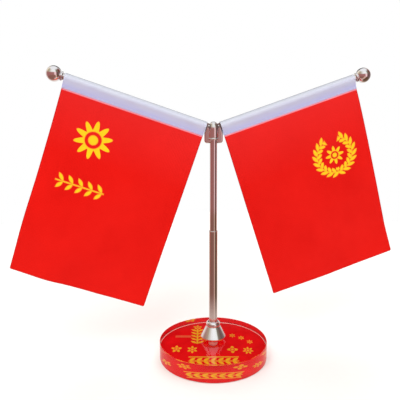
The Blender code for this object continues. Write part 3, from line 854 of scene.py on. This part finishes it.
def makeHub():
    low, high = boxOf("hub_body")
    core, side = high.y, high.x
    rim = crossing - hub["rim"]
    domeFoot = high.z - hub["domeHeight"]
    blunt = 2 / hub["domePower"]
    dome = [(core * cos(radians(a)) ** blunt, domeFoot + hub["domeHeight"] * sin(radians(a)) ** blunt)
            for a in range(6, 90, 6)]
    bead = hub["beadHeight"] / 2
    body = turned("hub_chrome", [
        (0, rim), (core - 0.25, rim), *arc((core + hub["bead"] - bead, rim + bead), bead, -90, 90, 10),
        (core - 0.08, rim + hub["beadHeight"] + 0.12), (core, rim + hub["beadHeight"] + 0.35),
        *dome, (0, high.z)])

    cheekSlant = pinReach + hub["cheek"]
    slantFoot = crossing + (cheekSlant - side * cos(armAngle)) / sin(armAngle)
    tilt = armAngle * 180 / pi
    right = [*arc((side - hub["corner"], low.z + hub["corner"]), hub["corner"], -90, 0, 10),
             (side, slantFoot), *arc((pin.x, pin.z), hub["cheek"], tilt, 90, 8)]
    block = plate("hub_block", right + [(-x, z) for x, z in reversed(right)], hub["blockDepth"])
    modify(block, "BEVEL", width=hub["blockRound"] * mm, segments=6, limit_method="ANGLE",
           angle_limit=radians(60))
    web = pin.x - hub["tongueHalf"] - hub["floorGap"]
    floor = -hub["tongueHalf"] - hub["floorGap"]
    webFloor = crossing + web * tan(armAngle) + floor / cos(armAngle)
    out = 2 * side
    far = (out * cos(armAngle) - floor * sin(armAngle),
           crossing + out * sin(armAngle) + floor * cos(armAngle))
    above = high.z + hub["slotOpen"]  # past the block, so that the slot is open at the top
    slot = [(web, webFloor), far, (far[0], above), (web, above)]
    for way in (1, -1):
        outline = [(way * x, z) for x, z in (slot if way > 0 else reversed(slot))]
        combine(block, plate("slot", outline, hub["slot"]), "DIFFERENCE")
        ring = arc((way * pin.x, pin.z), hub["pinHole"], 0, 360, 32)[:-1]
        hole = plate("hole", ring, 3 * hub["blockDepth"])
        combine(block, hole, "DIFFERENCE")
    breakEdges(block, hub["blockEdge"], segments=2, angle=40)
    combine(body, block, "UNION")
    upperTop = boxOf("upper_tube")[1].z + hub["socketGap"]
    under = low.z - hub["socketOver"]
    socket = turned("socket", [(0, under), (hub["socket"], under), (hub["socket"], upperTop), (0, upperTop)],
                    sides=72)
    combine(body, socket, "DIFFERENCE")
    smoothed(body, 35)
    dress(body, castChrome, "mast", "chrome", "hub_body")

    # pins are pressed flush, with slightly rounded ends
    radius, half = (pinHigh.z - pinLow.z) / 2, hub["blockDepth"] / 2 - 0.03
    outline = [(0, -half), (radius - 0.14, -half), (radius, -half + 0.1), (radius, half - 0.1),
               (radius - 0.14, half), (0, half)]
    first = turned("right_hinge_pin_steel", outline, sides=40)
    settle(first, Matrix.Translation(Vector((pin.x, 0, pin.z)) * mm) @ Matrix.Rotation(pi / 2, 4, "X"))
    breakEdges(first, 0.04, segments=2)
    second = settle(copyOf(first, "left_hinge_pin_steel"), Matrix.Rotation(pi, 4, "Z"))
    dress(first, zinc, "mast", "plated_steel", "right_hinge_pin")
    dress(second, zinc, "mast", "plated_steel", "left_hinge_pin")
    print("hub made")


makeHub()

# arms, modelled in the right arm's own frame, then copied to the left

arm = {"wall": 0.3, "spigot": 5.0, "fit": 0.03, "tongue": 1.0, "tongueHalf": 1.75, "eyeHole": 0.54,
       "root": 1.14, "collar": 1.1, "collarRadius": 2.4, "neck": 2.1, "groove": 0.25, "ballSteps": 40}


def bothArms(piece, name, finish, slot):
    # The first copy goes to the right arm and the second to the left one
    second = copyOf(piece, "left_" + name[0])
    piece.name = piece.data.name = "right_" + name[0]
    for made, side in ((piece, "right"), (second, "left")):
        settle(made, arms[side])
        dress(made, finish, side + "_arm", slot, side + "_" + name[1])


def makeArms():
    low, high = boxAlongArm("right_arm_tube")
    bore = high.z - arm["wall"]
    spigot = bore - arm["fit"]
    shoulder = boxAlongArm("right_flag_sleeve")[0].x + 0.1
    eye = plate("eye", [(shoulder, -arm["tongueHalf"]), (shoulder, arm["tongueHalf"]),
                        *arc((pinReach, 0), arm["tongueHalf"], 90, 270, 24)], arm["tongue"])
    root = pinReach + arm["root"]
    tip = shoulder + arm["spigot"]
    stem = turned("stem", [(0, root), (arm["tongue"] / 2, root), (spigot, shoulder), (spigot, tip), (0, tip)],
                  "X", 48)
    combine(eye, stem, "UNION")
    hole = plate("hole", arc((pinReach, 0), arm["eyeHole"], 0, 360, 32)[:-1], 3 * arm["tongue"])
    combine(eye, hole, "DIFFERENCE")
    breakEdges(eye, 0.08, segments=2, angle=40)
    bothArms(eye, ("arm_eye_steel", "arm_eye"), zinc, "plated_steel")

    tube = turned("tube", [(bore, low.x), (bore, high.x), (high.z, high.x), (high.z, low.x), (bore, low.x)],
                  "X", 64)
    breakEdges(tube, 0.08, segments=2)
    bothArms(tube, ("arm_tube_chrome", "arm_tube"), drawnChrome, "chrome")

    start = high.x + arm["fit"]
    ballHigh = boxAlongArm("right_finial")[1]
    ball, neck = ballHigh.z, arm["neck"]
    centre = ballHigh.x - ball
    collarEnd = start + arm["collar"]
    begin = 180 - 180 / pi * acos((centre - collarEnd) / ball)
    ballArc = arc((0, centre), ball, 90 - begin, 90, arm["ballSteps"])[:-1]
    knob = turned("finial", [
        (0, start - arm["spigot"]), (spigot, start - arm["spigot"]), (spigot, start), (neck, start),
        (arm["collarRadius"], start + 0.25), (arm["collarRadius"], collarEnd - 0.3),
        (neck - arm["groove"], collarEnd), *ballArc, (0, ballHigh.x)], "X", 96)
    breakEdges(knob, 0.08, segments=2, angle=35)
    bothArms(knob, ("finial_chrome", "finial"), turnedChrome, "chrome")
    print("arms made")


makeArms()

# sleeves: satin tape that goes over the arm and comes together at the seam

tape = {
    "thickness": 0.24,
    "radius": 2.14,        # middle of the tape round the arm
    "gap": 0.26,           # half the distance between the two layers at the seam
    "columns": 110, "rows": 56,
    "pinch": 0.22,         # how far the layers pull in above the seam
    "ripple": 0.13,        # height of the soft ripples along the arm
    "pucker": 0.035,       # height of the pull at each stitch
    "stitchDrop": 0.9,     # stitch line above the tape's lower edge
    "seeds": {"left": 3.7, "right": 11.2},
    "rippleScale": (0.16, 0.25),    # a mm, along the arm and down the tape
    "stiffBand": (0.5, 2.0),        # mm below the arm's axis where ripples begin, and until they are full
    "pullBand": 0.8, "inward": 0.08,
}


def tapeRoute():
    # Length of one straight leg, the angle where it touches the round, and the whole way over the arm
    low, gap, radius = flag["seam"], tape["gap"], tape["radius"]
    base, away = atan2(-low, -gap), hypot(low, gap)
    leg, opening = sqrt(away ** 2 - radius ** 2), acos(radius / away)
    start = base - opening + 2 * pi
    return leg, start, 2 * leg + radius * (2 * start - pi)


tapeLeg, tapeStart, tapeLength = tapeRoute()


def tapePoint(share, reach, side):
    # Middle of the tape in the arm's frame: up the front layer, over the arm and down the back one
    low, leg, start, length = flag["seam"], tapeLeg, tapeStart, tapeLength
    run = share * length
    touch = Vector((tape["radius"] * cos(start), tape["radius"] * sin(start)))
    if run < leg:
        part = run / leg
        spot = Vector((-tape["gap"], -low)).lerp(touch, part)
        spot.x += tape["pinch"] * sin(pi * part)
    elif run > length - leg:
        part = (length - run) / leg
        spot = Vector((tape["gap"], -low)).lerp(Vector((-touch.x, touch.y)), part)
        spot.x -= tape["pinch"] * sin(pi * part)
    else:
        angle = start - (run - leg) / tape["radius"]
        spot = Vector((tape["radius"] * cos(angle), tape["radius"] * sin(angle)))
    # soft ripples, and a small pull at each stitch near the seam
    seed = tape["seeds"][side]
    front = 1 if spot.x > 0 else -1
    stiff, easing = tape["stiffBand"]
    loose = max(0.0, min(1.0, (-spot.y - stiff) / easing))
    along, down = tape["rippleScale"]
    soft = noise.noise(Vector((reach * along, spot.y * down, seed + front))) * tape["ripple"] * loose
    near = max(0.0, 1 - abs(spot.y + low - tape["stitchDrop"]) / tape["pullBand"])
    pull = tape["pucker"] * near * cos(2 * pi * (reach - flag["start"]) / stitch["pitch"])
    spot.x += front * (max(soft, -tape["inward"]) + pull)
    return Vector((reach, spot.x, spot.y))


def gridPiece(name, columns, rows):
    # A flat grid, one unit a side, whose UV map is the cloth's own
    only(None)
    bpy.ops.mesh.primitive_grid_add(x_subdivisions=columns, y_subdivisions=rows, size=1, location=(0, 0, 0))
    piece = bpy.context.active_object
    piece.name = piece.data.name = name
    piece.data.uv_layers[0].name = "cloth"
    return piece


def makeSleeve(side):
    piece = gridPiece(side + "_flag_sleeve_tape", tape["columns"], tape["rows"])
    for vertex in piece.data.vertices:
        reach = sleeveLow.x + (vertex.co.x + 0.5) * (sleeveHigh.x - sleeveLow.x)
        vertex.co = tapePoint(vertex.co.y + 0.5, reach, side) * mm
    modify(piece, "SOLIDIFY", thickness=tape["thickness"] * mm, offset=0.0)
    breakEdges(piece, 0.05, segments=2, angle=60)
    only(piece)
    bpy.ops.object.shade_smooth_by_angle(angle=radians(60))
    settle(piece, arms[side])
    dress(piece, satin, side + "_flag", "satin_tape", side + "_flag_sleeve")
    return piece


def makeStitches(side):
    # One stitch is a short spindle of thread, repeated along the seam on both faces
    half, thick = stitch["length"] / 2, stitch["radius"]
    tip, taper = thick * stitch["tip"], stitch["taper"]
    outline = [(0, -half), (tip, -half + taper), (thick, -half * 0.5), (thick, half * 0.5),
               (tip, half - taper), (0, half)]
    piece = turned(side + "_seam_stitches", outline, "X", 8)
    count = int(flag["hoist"] / stitch["pitch"])
    modify(piece, "ARRAY", count=count, use_relative_offset=False, use_constant_offset=True,
           constant_offset_displace=(stitch["pitch"] * mm, 0, 0))
    back = copyOf(piece, side + "_back")
    drop = tape["stitchDrop"] / tapeLength
    for made, share, way in ((piece, drop, -1), (back, 1 - drop, 1)):
        for vertex in made.data.vertices:
            reach = flag["start"] + stitch["pitch"] / 2 + vertex.co.x / mm
            middle = tapePoint(share, reach, side)
            out = way * (tape["thickness"] / 2 + stitch["lift"])
            vertex.co = Vector((reach, middle.y + out + vertex.co.y / mm, middle.z + vertex.co.z / mm)) * mm
    only(piece)
    back.select_set(True)
    bpy.ops.object.join()
    bpy.ops.object.shade_smooth_by_angle(angle=radians(60))
    settle(piece, arms[side])
    piece.data.materials.clear()
    piece.data.materials.append(thread)
    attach(piece, side + "_flag")
    return piece


# flags: printed cloth that hangs from the seam and moves slightly in the air

drape = {
    "scale": 10,          # simulated ten times as large, because the solver suits sizes near a metre
    "frames": 45,
    "gravity": 0.25,      # a short stiff flag keeps its cut, so little of its weight shows
    "air": 300.0, "airSize": 0.55,
    # the mass is of each point, so the whole cloth is light enough for the air to move it
    "cloth": {"quality": 8, "mass": 0.005, "tension_stiffness": 40, "compression_stiffness": 40,
              "shear_stiffness": 20, "bending_stiffness": 6.0, "air_damping": 2.0},
    "pinBand": 1e-4,      # metres at that scale
    "cap": 2.6,           # mm that a point may move to the front or back
    # metres, apart from each other so that the two flags wave differently
    "airPlace": {"left": (0.0, 0.0, 0.0), "right": (0.9, 0.4, 0.3)},
}


def hangCloth(piece, side):
    # Simulated in the arm's frame, with the edge in the seam pinned
    scene = bpy.context.scene
    only(None)
    bpy.ops.object.effector_add(type="TURBULENCE", location=drape["airPlace"][side])
    air = bpy.context.active_object
    air.field.strength = drape["air"]
    air.field.size = drape["airSize"]
    air.field.noise = 0.0
    pinned = piece.vertex_groups.new(name="seam")
    top = (flag["top"] - flag["tuck"]) * drape["scale"] * mm
    pinned.add([v.index for v in piece.data.vertices if v.co.z > top - drape["pinBand"]], 1.0, "ADD")
    only(piece)
    cloth = piece.modifiers.new("cloth", "CLOTH")
    for name, value in drape["cloth"].items():
        setattr(cloth.settings, name, value)
    cloth.settings.vertex_group_mass = "seam"
    cloth.settings.effector_weights.gravity = drape["gravity"]
    cloth.point_cache.frame_start = 1
    cloth.point_cache.frame_end = drape["frames"]
    for step in range(1, drape["frames"] + 1):
        scene.frame_set(step)
    bpy.ops.object.modifier_apply(modifier=cloth.name)
    scene.frame_set(1)
    bpy.data.objects.remove(air)
    piece.vertex_groups.clear()


def makeFlag(side):
    piece = gridPiece(side + "_flag_bunting", flag["columns"], flag["rows"])
    big = drape["scale"] * mm
    for vertex in piece.data.vertices:
        across, up = vertex.co.x + 0.5, vertex.co.y + 0.5
        vertex.co = Vector((flag["start"] + across * flag["hoist"], 0, clothLow.z + up * flag["fly"])) * big
    hangCloth(piece, side)
    moved = max(abs(vertex.co.y) for vertex in piece.data.vertices) / big
    # points may not move far, and the whole flag hangs back a little from its arm's plane
    lean = radians(flag["lean"][side])
    back = 1 if side == "right" else -1
    for vertex in piece.data.vertices:
        spot = vertex.co / big
        shift = drape["cap"] * (2 / (1 + exp(-2 * spot.y / drape["cap"])) - 1)
        drop = max(0.0, flag["top"] - flag["tuck"] - spot.z)
        slack = drop - flag["bend"] * (1 - exp(-drop / flag["bend"]))
        height = spot.z + slack * (1 - cos(lean))
        vertex.co = Vector((spot.x, shift + back * slack * sin(lean), height)) * mm
    print(side, "cloth moved by up to", round(moved, 2), "mm")
    modify(piece, "SUBSURF", levels=1, render_levels=1)
    modify(piece, "SOLIDIFY", thickness=flag["thickness"] * mm, offset=0.0)
    only(piece)
    bpy.ops.object.shade_smooth_by_angle(angle=radians(50))
    settle(piece, arms[side])
    dress(piece, buntings[side], side + "_flag", "red_cloth", side + "_flag_cloth")
    return piece


for side in ("left", "right"):
    sleeve = makeSleeve(side)
    stitches = makeStitches(side)
    cloth = makeFlag(side)
print("flags made")

# stage: pale table, soft studio light, and what the chrome mirrors

studio = {
    "tableRadius": 0.42,
    "table": ("#f1efed", "#f4f2f0"),
    "tableGap": 0.02,     # mm under the stand
    "zenith": "#f4f4f6",
    "ceilingRise": (0.2, 0.42), "zenithRise": (0.72, 0.9),    # heights over which each takes over
    "roller": 3, "aim": 80,    # mm between the roller's marks, and above the table where the lamps point
    "key": {"place": (-0.30, -0.55, 0.62), "size": 0.5, "power": 2.8},
    "fill": {"place": (0.50, -0.35, 0.45), "size": 0.6, "power": 1.3},
    "back": {"place": (0.10, 0.60, 0.55), "size": 0.7, "power": 2.4},
    "top": {"place": (0.0, 0.0, 0.9), "size": 0.8, "power": 2.6},
    "world": 1.0,
    # round the horizon from the back, over the left, the front and the right, to the back again
    "horizon": [
        (0, "#f4f2f2"), (0.11, "#f2ece9"), (0.165, "#d9bdb6"), (0.205, "#a87974"), (0.26, "#a36a66"),
        (0.5, "#a86e6a"), (0.53, "#b0827e"), (0.555, "#fbd1d3"), (0.605, "#fbd1d3"), (0.63, "#7c5a56"),
        (0.66, "#6c4e4a"), (0.8, "#7c6562"), (0.845, "#cfc2be"), (0.89, "#f2f0ef"), (1, "#f4f2f2")],
    "ceiling": [
        (0, "#2c2725"), (0.05, "#3a3432"), (0.1, "#efe6da"), (0.19, "#efe0c8"), (0.235, "#bbaa8e"),
        (0.31, "#b4a68e"), (0.37, "#d7d0c5"), (0.43, "#f4f3f0"), (0.5, "#fcfefc"), (0.595, "#f6f8f2"),
        (0.62, "#888372"), (0.69, "#7c7566"), (0.73, "#723a33"), (0.8, "#7a4a42"), (0.88, "#cbbfba"),
        (0.95, "#3a3432"), (1, "#2c2725")],
    # the same round the table, which the pole mirrors below the horizon
    "tableLow": [
        (0, "#efe4de"), (0.12, "#ecd6cd"), (0.175, "#c9a496"), (0.205, "#966a5f"), (0.26, "#8d6054"),
        (0.5, "#936459"), (0.53, "#9c7266"), (0.555, "#d9b5a6"), (0.605, "#d0a999"), (0.63, "#6c4c3c"),
        (0.66, "#614331"), (0.8, "#745e4c"), (0.845, "#bfa894"), (0.89, "#eadfd8"), (1, "#efe4de")],
    # mm, the part of the table that the cone mirrors close to the base
    "nearTable": "#f8e2d9", "nearShare": 0.7, "nearRadius": (45.0, 95.0),
}


def rampNode(tree, value, stops):
    ramp = addNode(tree, "ValToRGB", [value])
    ramp.color_ramp.interpolation = "EASE"
    ramp.color_ramp.elements[0].position, ramp.color_ramp.elements[1].position = 0.0, 1.0
    for place, code in stops[1:-1]:
        ramp.color_ramp.elements.new(place)
    for element, (place, code) in zip(ramp.color_ramp.elements, stops):
        element.color = linear(code)
    return ramp


def turnShare(tree, way):
    # 0 at the back, then 0.25 at the left, 0.5 at the front and 0.75 at the right
    front = addNode(tree, "Math", [way.outputs["Y"], -1.0], operation="MULTIPLY")
    bearing = addNode(tree, "Math", [way.outputs["X"], front], operation="ARCTAN2")
    return addNode(tree, "Math", [bearing, 1 / (2 * pi), 0.5], operation="MULTIPLY_ADD")


def makeWorld():
    # White to the eye; mirrors see a pale room with darker and warmer walls at the front and right
    world = bpy.data.worlds.new("studioRoom")
    bpy.context.scene.world = world
    world.use_nodes = True
    tree = world.node_tree
    tree.nodes.clear()
    way = addNode(tree, "SeparateXYZ", [addNode(tree, "TexCoord").outputs["Generated"]])
    share = turnShare(tree, way)
    low = rampNode(tree, share, studio["horizon"])
    high = rampNode(tree, share, studio["ceiling"])
    rise = addNode(tree, "MapRange", [way.outputs["Z"], *studio["ceilingRise"], 0.0, 1.0])
    walls = addNode(tree, "Mix", [rise, low, high], data_type="RGBA")
    over = addNode(tree, "MapRange", [way.outputs["Z"], *studio["zenithRise"], 0.0, 1.0])
    room = addNode(tree, "Mix", [over, walls, studio["zenith"]], data_type="RGBA")
    seen = addNode(tree, "Background", ["#ffffff", 1.0])
    mirrored = addNode(tree, "Background", [room, studio["world"]])
    eye = addNode(tree, "LightPath").outputs["Is Camera Ray"]
    both = addNode(tree, "MixShader", [eye, mirrored, seen])
    addNode(tree, "OutputWorld", [both])


def paleTable():
    # Matt painted board: nearly white, with a faint roller texture
    made, tree, shader = newMaterial("paintedTable", {"Roughness": 0.65, "Specular IOR Level": 0.2})
    place = addNode(tree, "TexCoord").outputs["Object"]
    roller = addNode(tree, "TexNoise", {"Vector": place, "Scale": 1 / (studio["roller"] * mm),
                     "Detail": 2.0})
    colour = addNode(tree, "Mix", [roller, *studio["table"]], data_type="RGBA")
    # mirrors see it as darker and warmer, like the room
    way = addNode(tree, "SeparateXYZ", [place])
    walls = rampNode(tree, turnShare(tree, way), studio["tableLow"])
    flat = addNode(tree, "VectorMath", [place], operation="LENGTH").outputs["Value"]
    near, far = studio["nearRadius"]
    close = addNode(tree, "MapRange", [flat, far * mm, near * mm, 0.0, studio["nearShare"]])
    seen = addNode(tree, "Mix", [close, walls, studio["nearTable"]], data_type="RGBA")
    glow = addNode(tree, "Emission", [seen, 1.0])
    mirror = addNode(tree, "LightPath").outputs["Is Glossy Ray"]
    both = addNode(tree, "MixShader", [mirror, shader, glow])
    setInputs(tree, tree.nodes["Material Output"], {"Surface": both})
    setInputs(tree, shader, {"Base Color": colour})
    return made


def makeStage():
    only(None)
    bpy.ops.mesh.primitive_circle_add(vertices=128, radius=studio["tableRadius"], fill_type="NGON",
                                      location=(0, 0, cadLow.z - studio["tableGap"] * mm))
    table = bpy.context.active_object
    table.name = "table"
    bpy.ops.object.transform_apply(location=True)
    table.data.materials.append(paleTable())
    for name in ("key", "fill", "back", "top"):
        look = studio[name]
        only(None)
        bpy.ops.object.light_add(type="AREA", location=look["place"])
        light = bpy.context.active_object
        light.name = name + "Light"
        light.data.size = look["size"]
        light.data.energy = look["power"]
        aim = Vector((0, 0, studio["aim"] * mm)) - Vector(look["place"])
        light.rotation_euler = aim.to_track_quat("-Z", "Y").to_euler()
        light.visible_glossy = False  # mirrors see only the room, so no lamp shows as a hard square


makeWorld()
makeStage()
print("stage made")
